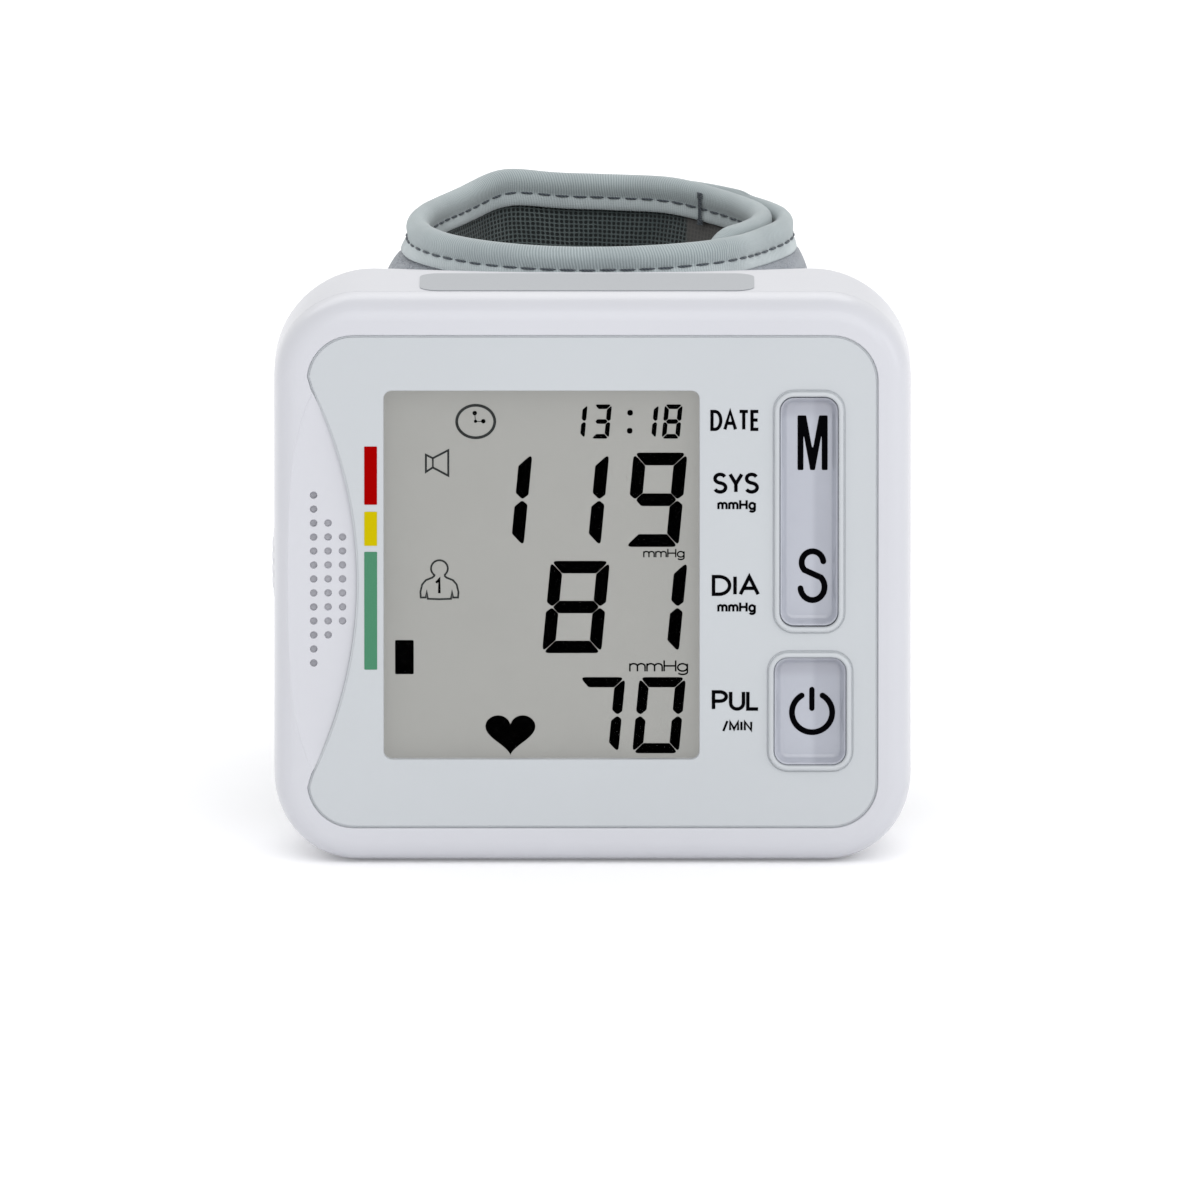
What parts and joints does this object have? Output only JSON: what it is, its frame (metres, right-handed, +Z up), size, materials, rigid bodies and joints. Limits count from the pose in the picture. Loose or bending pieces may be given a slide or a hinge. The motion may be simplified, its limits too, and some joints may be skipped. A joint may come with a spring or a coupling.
{
  "type": "wrist blood pressure monitor",
  "caption": "Wrist blood pressure monitor: a flat case with a display and keys on a rolled cloth cuff, with its board, pump, air lines and batteries inside.",
  "frame": {"origin": "on the flat underside of the case, midway between its sides and between its front and back", "axes": "+X to the right of the display, +Y from the display back to the cuff, +Z up"},
  "size_m": [0.0804, 0.0915, 0.073],
  "materials": {
    "white_plastic": "glossy white moulded plastic",
    "panel_plastic": "satin, faintly blue light grey",
    "key_plastic": "glossy, slightly see-through grey-lavender",
    "clear_plastic": "clear moulded window",
    "display_glass": "grey liquid crystal panel",
    "inner_plastic": "plain moulded plastic",
    "black_plastic": "matt black",
    "board_green": "green board lacquer",
    "plain_steel": "bare metal",
    "battery_jacket": "plain cell jacket without print",
    "dark_rubber": "matt black",
    "clear_rubber": "milky silicone",
    "mesh_cloth": "charcoal knit mesh",
    "cuff_cloth": "grey brushed loop cloth",
    "tape_cloth": "light grey-green woven tape"
  },
  "bodies": {
    "monitor": {"front_case": "white_plastic", "rear_case": "white_plastic", "face_panel": "panel_plastic", "display_window": "clear_plastic", "lcd_glass": "display_glass", "lcd_frame": "inner_plastic", "lcd_connector_strip": "dark_rubber", "main_board": "board_green", "controller_chip": "black_plastic", "capacitor": "black_plastic", "case_screw_1": "plain_steel", "case_screw_2": "plain_steel", "case_screw_3": "plain_steel", "case_screw_4": "plain_steel", "board_screw_1": "plain_steel", "board_screw_2": "plain_steel", "power_switch": "black_plastic", "set_switch": "black_plastic", "memory_switch": "black_plastic", "speaker": "black_plastic", "battery_1": "battery_jacket", "battery_2": "battery_jacket", "battery_spring_contact": "plain_steel", "battery_plate_contact": "plain_steel", "battery_bridge_contact": "plain_steel", "pump_motor": "plain_steel", "pump_sleeve": "dark_rubber", "pump_head": "black_plastic", "release_valve": "plain_steel", "pressure_sensor": "black_plastic", "air_manifold": "inner_plastic", "cuff_nozzle": "inner_plastic", "pump_tube": "clear_rubber", "valve_tube": "clear_rubber", "sensor_tube": "clear_rubber", "cuff_mount_plate": "inner_plastic", "cuff_lining": "mesh_cloth", "cuff_bladder": "dark_rubber", "cuff_stiffener": "inner_plastic", "cuff_cover": "cuff_cloth", "cuff_binding_bottom": "tape_cloth", "cuff_binding_top": "tape_cloth"},
    "power_button": {"power_button": "key_plastic", "power_switch_plunger": "inner_plastic"},
    "memory_set_key": {"memory_set_key": "key_plastic"},
    "battery_door": {"battery_door": "white_plastic"},
    "cuff_tail_root": {"cuff_tail_root": "cuff_cloth"},
    "cuff_tail_end": {"cuff_tail_end": "cuff_cloth", "cuff_hook_patch": "dark_rubber"}
  },
  "joints": [
    {"name": "power_button_press", "type": "slide", "parent": "monitor", "child": "power_button", "axis": [0, 1, 0], "range_m": [0, 0.0006], "stiffness_N_per_m": 300},
    {"name": "memory_set_key_rock", "type": "hinge", "parent": "monitor", "child": "memory_set_key", "pos_m": [0.0272, -0.01055, 0.04495], "axis": [1, 0, 0], "range_deg": [-1.9, 1.9], "stiffness_Nm_per_rad": 0.05},
    {"name": "battery_door_slide", "type": "slide", "parent": "monitor", "child": "battery_door", "axis": [-1, 0, 0], "range_m": [0, 0.024]},
    {"name": "cuff_tail_fold", "type": "hinge", "parent": "monitor", "child": "cuff_tail_root", "pos_m": [0.01705, 0.02452, 0], "axis": [0, 0, -1], "range_deg": [0, 65]},
    {"name": "cuff_tail_straighten", "type": "hinge", "parent": "cuff_tail_root", "child": "cuff_tail_end", "pos_m": [0.02372, 0.05724, 0], "axis": [0, 0, -1], "range_deg": [0, 91]}
  ],
  "couplings": [
    {"joint": "cuff_tail_straighten", "follows": "cuff_tail_fold", "ratio": 1.4}
  ]
}
